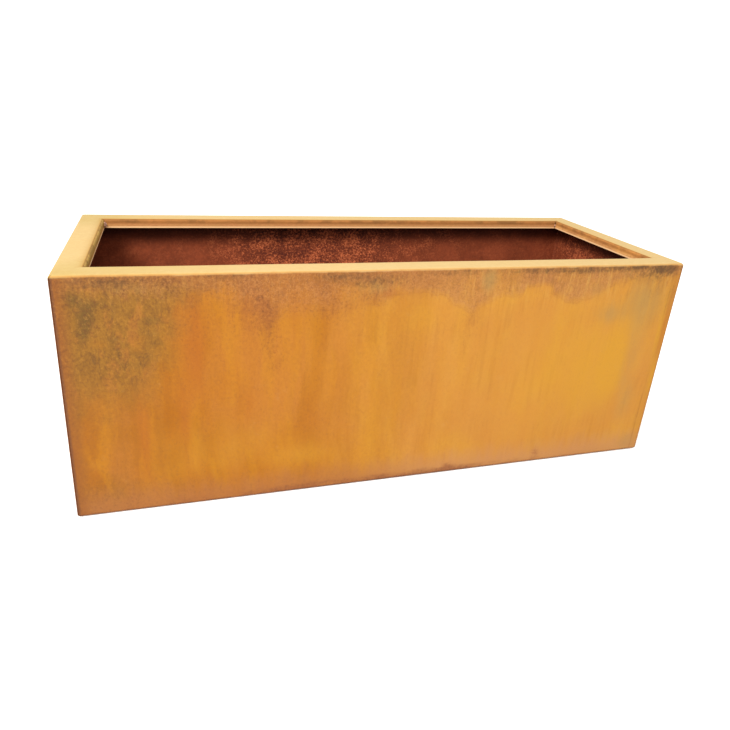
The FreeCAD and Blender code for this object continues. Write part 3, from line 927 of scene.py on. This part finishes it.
def add_band(r, place, color):
    """The speckled band under the fold, scalloped along its lower edge, the strip splashed at the foot,
    and a painted shade along the bottom edge. Returns the colour and the masks of the band and the
    splashed strip."""
    worn = r.ramp(r.mark("drift"), 0.62, 0.38)
    crumble = r.crumble(r.shape(place, 0.6), 46.0, 6, 0.70, 0.4)
    band = r.line(crumble, 0.9, r.mark("band"))
    uneven = r.ramp(r.noise(r.shape(place, 0.8, (2, 5, 3)), 11.0, 4, 0.6), 0.34, 0.60, 0.50, 1.0)
    crisp = r.ramp(band, -0.26, 0.48)
    veil = r.line(worn, r.calc("SUBTRACT", r.ramp(band, -0.80, 1.60), crisp), crisp)
    drop = r.drop(place)
    crust = r.ramp(r.line(crumble, -0.10, drop), 50 * MM, -2 * MM)
    band_chip = r.mix(worn, (143, 95, 53), (133, 84, 47))
    band_chip = r.coat(band_chip, ((121, 81, 37), r.mark("damp")))
    crackle = r.group("Cracks", place, Scale=90.0, Width=0.06)["Mask"]
    paler = r.group("Cracks", r.shape(place, 1, (2, 9, 5)), Scale=100.0, Width=0.06)["Mask"]
    strokes = r.noise(r.shape(place, 0.10), 190.0, 3, 0.7)
    near_top = r.times(r.ramp(drop, 110 * MM, 25 * MM), r.ramp(r.mark("drift"), 0.30, 0.80, 0.20, 1.0))
    height = r.height(place)
    scatter = r.noise(r.shape(place, 0.25), 45.0, 5, 0.70)
    low_chip = r.mix(worn, (156, 110, 70), (138, 88, 50))
    low = r.ramp(r.line(scatter, -60 * MM, height), 40 * MM, -20 * MM)
    wide = r.shape(place, 1, along=0.35)
    foot = r.group("Broken edge", wide, Field=r.mark("splash"), Scale=110.0, Break=1.6)["Mask"]
    # painted shade along the bottom edge, where the sheet turns under onto the floor, broken up by the
    # scatter noise
    last = r.times(r.ramp(height, 7.5 * MM, 2 * MM), r.ramp(scatter, 0.36, 0.56, 0.3, 1.0))
    color = r.coat(
        color,
        (band_chip, veil, uneven, 0.80),
        ((124, 78, 42), crust, r.line(worn, 0.25, 0.42)),
        ((122, 72, 34), r.bump_at(band, -0.02, 0.07), uneven, 0.22),
        ((108, 68, 38), crackle, veil, 0.26),
        ((178, 126, 76), paler, veil, 0.22),
        ((174, 134, 66), r.ramp(strokes, 0.52, 0.66), near_top, 0.36),
        ((116, 78, 36), r.ramp(strokes, 0.46, 0.34), near_top, 0.34),
        (low_chip, low, 0.70),
        ((116, 68, 44), foot, 0.75),
        ((88, 54, 38), last, 0.65),
    )
    grained = r.times(veil, uneven, r.line(worn, 0.45, 0.40))
    return color, r.calc("MAXIMUM", grained, r.times(crust, 0.7)), foot


def add_edges(r, place, color):
    """Brown weld heat right on the corner, and the brush's thin line a little way in from it."""
    gap, drift = r.mark("to_seam"), r.mark("drift")
    broken = r.ramp(r.noise(r.shape(place, 0.3), 30.0, 4, 0.6), 0.36, 0.56)
    burnt = r.ramp(drift, 0.95, 0.10, 0.15, 1.0)
    brushed = r.ramp(drift, 0.6, 0.95, 0.05, 0.36)
    return r.coat(
        color,
        ((118, 70, 33), r.ramp(gap, 30 * MM, 2 * MM), burnt, 0.80),
        ((84, 54, 40), r.ramp(gap, 5 * MM, 1 * MM), burnt, 0.65),
        ((114, 72, 32), r.bump_at(gap, 16.5 * MM, 2.5 * MM), broken, brushed),
    )


def add_rim_and_lip(r, place, color):
    """The rim's top is painted paler for the sky's sheen on it, and the folds carry painted shade; the lip
    below it is browner, and lighter towards its cut edge, partly wear and partly a painted highlight.
    """
    clouds = r.group("Mottling", place, Scale=14.0)
    # painted sheen: a paler, yellower colour on the rim's top for the sky's sheen on it
    pale = r.coat(
        r.mix(r.ramp(r.mark("drift"), 0.0, 0.35), (164, 140, 86), (176, 149, 100)),
        ((172, 150, 104), clouds["Broad"], 0.35),
        ((146, 112, 64), clouds["Fine"], 0.14),
    )
    rim, lip, green_lip_and_fold_shade, lip_painted_light = (r.mark(mark) for mark in ("rim", "lip", "green_lip_and_fold_shade", "lip_painted_light"))
    ragged = r.crumble(place, 30.0, 4, 0.65)
    # how far the painted sheen reaches, from how much the sheet faces up, with a ragged edge
    rim_sheen_reach = r.line(ragged, 0.9, rim)
    # painted shade along the rim's inner fold, where the sheet rolls over into the lip, stronger on the
    # left end
    painted_fold_shade = r.times(r.mark("roll"), r.line(green_lip_and_fold_shade, 0.55, 0.12))
    mottle = r.group("Mottling", r.shape(place, 3), Scale=20.0)
    broad, drop = mottle["Broad"], r.drop(place)
    # painted light: the lip face is made lighter on walls whose lip faces the lamps, by lip_painted_light
    upper = r.mix(broad, r.mix(lip_painted_light, (130, 85, 46), (178, 120, 60)), (160, 104, 54))
    lower = r.mix(broad, r.mix(lip_painted_light, (166, 116, 70), (216, 158, 92)), (184, 126, 78))
    green = r.mix(broad, (146, 108, 44), (168, 128, 62))
    green = r.mix(r.ramp(drop, 6 * MM, 12 * MM), (188, 152, 78), green)
    face = r.coat(
        r.mix(r.ramp(drop, 8 * MM, 13 * MM), upper, lower),
        (green, green_lip_and_fold_shade, 0.9),
        ((96, 66, 36), r.ramp(ragged, -0.05, 0.12), r.ramp(drop, 12 * MM, 4 * MM), 0.50),
        ((110, 70, 38), mottle["Fine"], 0.26),
        # a light line at the lip's lower edge: partly wear of its cut edge, partly a painted highlight
        ((230, 186, 136), r.ramp(drop, 15.2 * MM, 17.4 * MM)),
    )
    return r.coat(
        color,
        (pale, r.ramp(rim_sheen_reach, 0.10, 0.90)),
        # the next three layers are painted shade on the folds: darker ochre on the fold arcs, an ochre
        # gradient where the rim turns into the lip, and painted_fold_shade
        ((164, 114, 50), r.bump_at(rim, 0.62, 0.36), 0.55),
        ((180, 138, 66), r.ramp(lip, 0.02, 0.45), r.ramp(rim, 0.2, 0.6), 0.6),
        ((150, 112, 54), painted_fold_shade, rim),
        (face, r.ramp(lip, 0.25, 0.75)),
        ((104, 68, 34), r.bump_at(lip, 0.55, 0.30), r.ramp(rim, 0.2, 0.5), 0.55),
    )


def inner_color(r, place):
    """Painted shadow under the lip, redder lower down, and flaked to orange in the middle of the long
    walls.
    """
    mottle = r.group("Mottling", place, Scale=18.0)
    crumble = r.crumble(place, 26.0, 4, 0.65)
    flaked = r.ramp(r.line(crumble, 0.9, r.mark("flakes")), 0.0, 0.9)
    worms = r.line(crumble, 0.40, r.noise(place, 230.0, 4, 0.75, 0.7))
    # painted shadow: the inner skin is darkened within about 70 mm of the rim, where the lip shades it
    painted_lip_shadow = r.ramp(r.line(mottle["Broad"], -12 * MM, r.drop(place)), 70 * MM, 26 * MM)
    # the orange flakes are dimmed inside the painted shadow
    lit = r.times(r.line(painted_lip_shadow, -0.55, 0.95), r.line(flaked, 0.85, 0.15))
    return r.coat(
        r.mix(mottle["Broad"], (122, 58, 34), (144, 70, 42)),
        ((88, 42, 30), mottle["Fine"], 0.35),
        ((74, 34, 28), flaked, r.ramp(worms, 0.52, 0.38), 0.80),
        ((44, 20, 16), painted_lip_shadow, 0.85),
        ((206, 112, 70), r.ramp(worms, 0.48, 0.64), lit),
    )


# %% Outer patina: the whole material
def make_patina():
    material, r, shader = new_material("weathered outer steel")
    place = r.place()
    color = add_stains(r, place, ground_color(r, place), "bloom", "ember", "damp")
    color = add_damp_detail(r, place, color)
    color, band, foot = add_band(r, place, color)
    color = add_stains(r, place, color, "sage", "shade", "moss", "scab")
    color = add_edges(r, place, color)

    # specks of old scale in the band, the foot and the damp parts
    amount = r.line(band, 0.55, r.times(r.mark("shade"), 0.6))
    amount = r.calc("ADD", amount, r.line(foot, 0.6, r.times(r.mark("damp"), 0.5)))
    amount = r.line(r.mark("moss"), 0.5, amount)
    amount = r.calc("MINIMUM", amount, 1.0)
    fine = r.shape(place, 0.7)
    specks = r.group("Specks", fine, Size=210.0, Amount=amount, Softness=0.12)["Mask"]
    grain = r.noise(r.shape(place, 0.8), 210.0, 4, 0.80)
    strength = r.line(amount, 0.57, r.ramp(r.mark("drift"), 0.70, 0.30, 0.08, 0.15))
    color = r.coat(
        color,
        ((92, 58, 32), specks, 0.50),
        ((86, 52, 28), r.ramp(grain, 0.49, 0.36), strength),
        ((180, 126, 60), r.ramp(grain, 0.52, 0.66), strength, 0.35),
    )

    pools = r.group("Mottling", place, Scale=260.0)["Broad"]
    # light and dark pools of the weld metal; the light pools stand partly for painted highlights on the
    # lumps
    weld_color_and_highlights = r.mix(pools, (206, 156, 128), (84, 58, 50))
    inside = r.mark("inside")
    color = r.coat(
        add_rim_and_lip(r, place, color),
        (inner_color(r, place), inside),
        # the cut edges are pale: partly wear to bare metal, partly a painted highlight
        ((214, 168, 118), r.mark("cut")),
        (weld_color_and_highlights, r.mark("bead"), r.calc("SUBTRACT", 1.0, inside)),
        # painted shade in the weld's pinhole
        ((34, 20, 16), r.ramp(r.mark("pinhole_shade"), 0.2, 0.6)),
    )

    r.feed(shader["Base Color"], color)
    r.feed(shader["Roughness"], r.ramp(grain, 0.40, 0.60, 0.74, 0.90))
    shader["Specular IOR Level"].default_value = 0.10
    r.feed(shader["Normal"], r.group("Scale relief", place, Depth=0.30, Pits=specks)["Normal"])
    return material


patina = make_patina()
for piece in [*walls.values(), *seams]:
    piece.data.materials.append(patina)
print("nodes in the patina:", len(patina.node_tree.nodes))


# %% [markdown]
# ## Rust inside the box
#
# The base, its channels and the tie are redder, the beads are greyer from their heat, and the bolts
# keep a little of their plating's shine. All three need the same blotches and flakes, so one function
# makes them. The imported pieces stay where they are, and a narrow bevel takes the sharpness off.


# %% Inner steel, weld metal and fasteners
def make_plain_rust(name, dark, light, flake, depth, roughness):
    """Rust for what lies inside the box: blotches of two colours, with flakes of a third."""
    material, r, shader = new_material(name)
    place = r.place()
    mottle = r.group("Mottling", place, Scale=26.0)
    flakes = r.group("Specks", place, Size=170.0, Amount=0.8)["Mask"]
    color = r.coat(
        r.mix(mottle["Broad"], dark, light),
        (flake, flakes, 0.55),
        (dark, mottle["Fine"], 0.25),
    )
    r.feed(shader["Base Color"], color)
    r.feed(shader["Roughness"], r.ramp(mottle["Fine"], 0.0, 1.0, *roughness))
    shader["Specular IOR Level"].default_value = 0.35
    r.feed(shader["Normal"], r.group("Scale relief", place, Depth=depth, Pits=flakes)["Normal"])
    return material


def finish_packed(nodes, material, width):
    """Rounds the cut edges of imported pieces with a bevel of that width, and gives them the material."""
    for node in nodes:
        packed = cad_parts[node]
        bevel = packed.modifiers.new("rounded edges", "BEVEL")
        bevel.width = width
        bevel.segments = 3
        bevel.limit_method = "ANGLE"
        bevel.angle_limit = radians(40)
        for holder in packed.material_slots:
            holder.material = material


INNER_STEEL = (
    "base_plate", "base_bearer_left", "base_bearer_middle", "base_bearer_right",
    "tie_bar", "tie_lug_front", "tie_lug_back",
)
FASTENERS = ("tie_bolts", "tie_washers", "tie_nuts")
# name: (dark, light, flake, depth of the relief, roughness from and to)
PLAIN_RUSTS = {
    "rusted inner steel": ((96, 48, 32), (134, 74, 46), (176, 98, 56), 0.5, (0.75, 0.92)),
    "rusted bolts": ((92, 70, 56), (120, 84, 60), (150, 88, 52), 0.3, (0.45, 0.7)),
    "rusted weld metal": ((84, 52, 40), (120, 74, 52), (160, 96, 62), 0.4, (0.55, 0.8)),
}
inner_rust, bolt_rust, weld_rust = (make_plain_rust(name, *look) for name, look in PLAIN_RUSTS.items())
finish_packed(INNER_STEEL, inner_rust, 0.6 * MM)
finish_packed(FASTENERS, bolt_rust, 0.25 * MM)
for piece in (stitch_welds, bearer_tacks, lug_beads):
    piece.data.materials.append(weld_rust)
print("materials:", [material.name for material in bpy.data.materials])

# %% [markdown]
# ## Floor, light and camera
#
# The box stands on a plain white floor under a bright, even sky with one large soft lamp overhead, as
# in a studio with a white sweep. The floor throws light back at the panels, which keeps them clear.

# %% Floor and light
SKY = 1.25
bpy.ops.mesh.primitive_circle_add(vertices=96, radius=40, fill_type="NGON", location=(0, 0, -0.5 * MM))
floor = bpy.context.object
floor.name = "studio_floor"
floor_paint, _, shader = new_material("white floor")
shader["Base Color"].default_value = (0.95, 0.95, 0.95, 1)
shader["Roughness"].default_value = 0.9
shader["Specular IOR Level"].default_value = 0.1
floor.data.materials.append(floor_paint)

world = bpy.data.worlds.new("studio sky")
bpy.context.scene.world = world
world.use_nodes = True
sky = world.node_tree.nodes["Background"].inputs
sky["Color"].default_value = (1.0, 1.0, 1.0, 1)
sky["Strength"].default_value = SKY


def soft_lamp(name, place, aim, size, power, tint):
    """A square area lamp at place, turned towards aim."""
    lamp = bpy.data.lights.new(name, "AREA")
    lamp.size = size
    lamp.energy = power
    lamp.color = tint
    holder = bpy.data.objects.new(name, lamp)
    bpy.context.scene.collection.objects.link(holder)
    direction = np.array(aim) - np.array(place)
    holder.location = place
    holder.rotation_euler = Vector(direction).to_track_quat("-Z", "Y").to_euler()
    print(f"{name}: {power} W from {place}")


AIM = (0, 0, 0.3)
soft_lamp("overhead", (0.3, -0.4, 3.2), AIM, size=2.4, power=30, tint=(1.0, 0.98, 0.94))
soft_lamp("key", (-1.80, -1.85, 2.5), AIM, size=1.2, power=118, tint=(1.0, 0.98, 0.95))

# %% Camera
view = bpy.data.cameras.new("view")
view.lens = 30.33
view.sensor_width = 36
view.shift_x = 0.0017
view.shift_y = -0.0497
camera = bpy.data.objects.new("view", view)
bpy.context.scene.collection.objects.link(camera)
camera.location = (-0.4161, -1.2125, 0.7515)
camera.rotation_euler = [radians(turn) for turn in (68.264, -3.862, -16.719)]
bpy.context.scene.camera = camera
bpy.context.scene.view_settings.view_transform = "Standard"
print("camera at", list(camera.location), "with a lens of", view.lens, "mm")

# %% [markdown]
# ## The size stays the model's
#
# The visible box has to lie inside the imported one; this last cell only brings the scene up to date.

bpy.context.view_layer.update()
